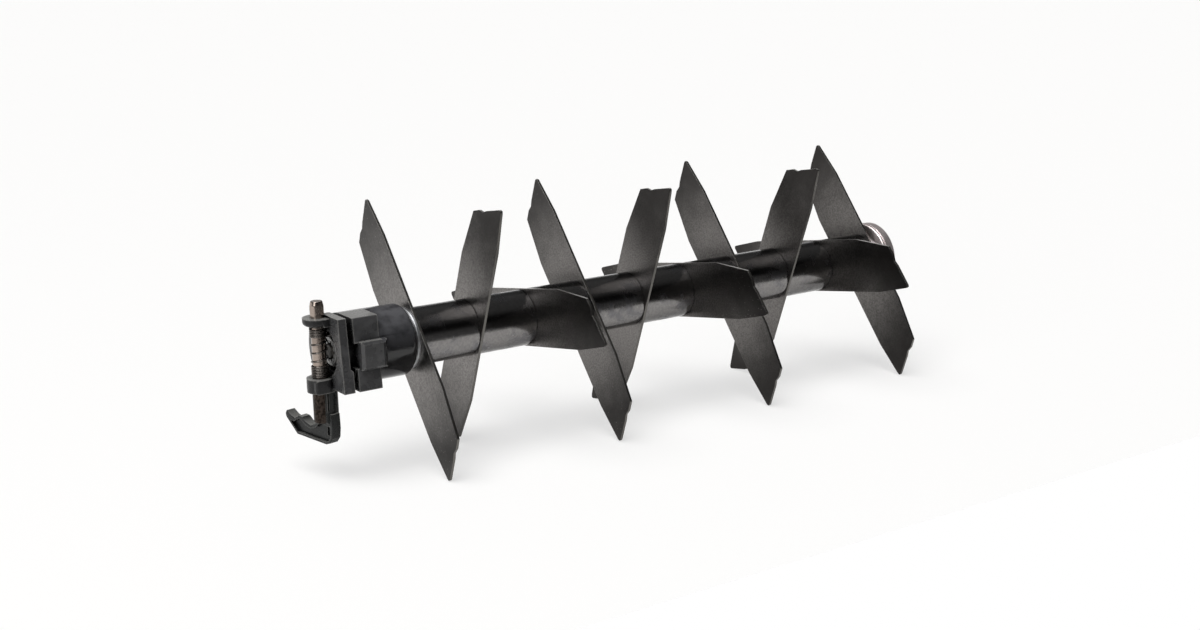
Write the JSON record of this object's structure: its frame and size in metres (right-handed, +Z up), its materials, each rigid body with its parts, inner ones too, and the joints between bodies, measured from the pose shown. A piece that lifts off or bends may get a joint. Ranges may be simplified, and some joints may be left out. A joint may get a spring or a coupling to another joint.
{
  "type": "scarifier rotor",
  "caption": "Scarifier blade shaft: flat two-armed blades stepped round a sleeved shaft, a ball bearing at one end and a slide-in bearing block with a sprung lock pin and lever at the other.",
  "frame": {"origin": "on the shaft axis, in the middle of the drive end's ball bearing", "axes": "+X along the shaft from the bearing block to the drive end, +Z up along the lock pin, as the rotor stands on its blade tips"},
  "size_m": [0.3864, 0.1534, 0.1336],
  "materials": {
    "blade_steel": "dark satin coating, worn lighter near the shaft",
    "sleeve_steel": "polished black",
    "shaft_steel": "drawn bar",
    "washer_steel": "zinc plated",
    "bearing_steel": "ground",
    "cage_plastic": "moulded",
    "seal_rubber": "moulded",
    "shield_steel": "bright pressed sheet",
    "block_plastic": "satin black",
    "lever_plastic": "satin black",
    "pin_steel": "bright",
    "spring_steel": "oiled spring wire"
  },
  "bodies": {
    "rotor": {"shaft": "shaft_steel", "blade_01": "blade_steel", "blade_02": "blade_steel", "blade_03": "blade_steel", "blade_04": "blade_steel", "blade_05": "blade_steel", "blade_06": "blade_steel", "blade_07": "blade_steel", "blade_08": "blade_steel", "blade_09": "blade_steel", "blade_10": "blade_steel", "spacer_sleeve_01": "sleeve_steel", "spacer_sleeve_02": "sleeve_steel", "spacer_sleeve_03": "sleeve_steel", "spacer_sleeve_04": "sleeve_steel", "spacer_sleeve_05": "sleeve_steel", "spacer_sleeve_06": "sleeve_steel", "spacer_sleeve_07": "sleeve_steel", "spacer_sleeve_08": "sleeve_steel", "spacer_sleeve_09": "sleeve_steel", "end_washer": "washer_steel", "drive_washer": "washer_steel", "drive_snap_ring": "washer_steel", "inner_bush": "washer_steel", "outer_bush": "washer_steel", "toothed_washer": "washer_steel", "block_bearing_inner_ring": "bearing_steel", "drive_bearing_inner_ring": "bearing_steel"},
    "bearing_block": {"bearing_block": "block_plastic", "block_bearing_outer_ring": "bearing_steel", "block_bearing_seal_left": "seal_rubber", "block_bearing_seal_right": "seal_rubber", "block_snap_ring": "washer_steel", "pin_spring": "spring_steel"},
    "block_ball_set": {"block_bearing_balls": "bearing_steel", "block_bearing_cage": "cage_plastic"},
    "drive_bearing_rim": {"drive_bearing_outer_ring": "bearing_steel", "drive_bearing_seal_left": "shield_steel", "drive_bearing_seal_right": "shield_steel"},
    "drive_ball_set": {"drive_bearing_balls": "bearing_steel", "drive_bearing_cage": "cage_plastic"},
    "pin_clip": {"pin_clip": "washer_steel"},
    "lock_pin": {"lock_pin": "pin_steel", "lock_lever": "lever_plastic"}
  },
  "joints": [
    {"name": "block_turn", "type": "hinge", "parent": "rotor", "child": "bearing_block", "pos_m": [-0.35345, 0, 0], "axis": [1, 0, 0], "continuous": true},
    {"name": "block_balls_turn", "type": "hinge", "parent": "rotor", "child": "block_ball_set", "pos_m": [-0.35345, 0, 0], "axis": [1, 0, 0], "continuous": true},
    {"name": "drive_bearing_turn", "type": "hinge", "parent": "rotor", "child": "drive_bearing_rim", "pos_m": [0, 0, 0], "axis": [1, 0, 0], "continuous": true},
    {"name": "drive_balls_turn", "type": "hinge", "parent": "rotor", "child": "drive_ball_set", "pos_m": [0, 0, 0], "axis": [1, 0, 0], "continuous": true},
    {"name": "pin_slide", "type": "slide", "parent": "bearing_block", "child": "pin_clip", "axis": [0, 0, 1], "range_m": [-0.0075, 0], "stiffness_N_per_m": 2200, "springref_m": 0.004, "deforming": ["pin_spring"]},
    {"name": "lever_turn", "type": "hinge", "parent": "pin_clip", "child": "lock_pin", "pos_m": [-0.37115, 0, 0], "axis": [0, 0, 1], "continuous": true}
  ],
  "couplings": [
    {"joint": "block_balls_turn", "follows": "block_turn", "ratio": 0.62},
    {"joint": "drive_balls_turn", "follows": "drive_bearing_turn", "ratio": 0.5903}
  ]
}
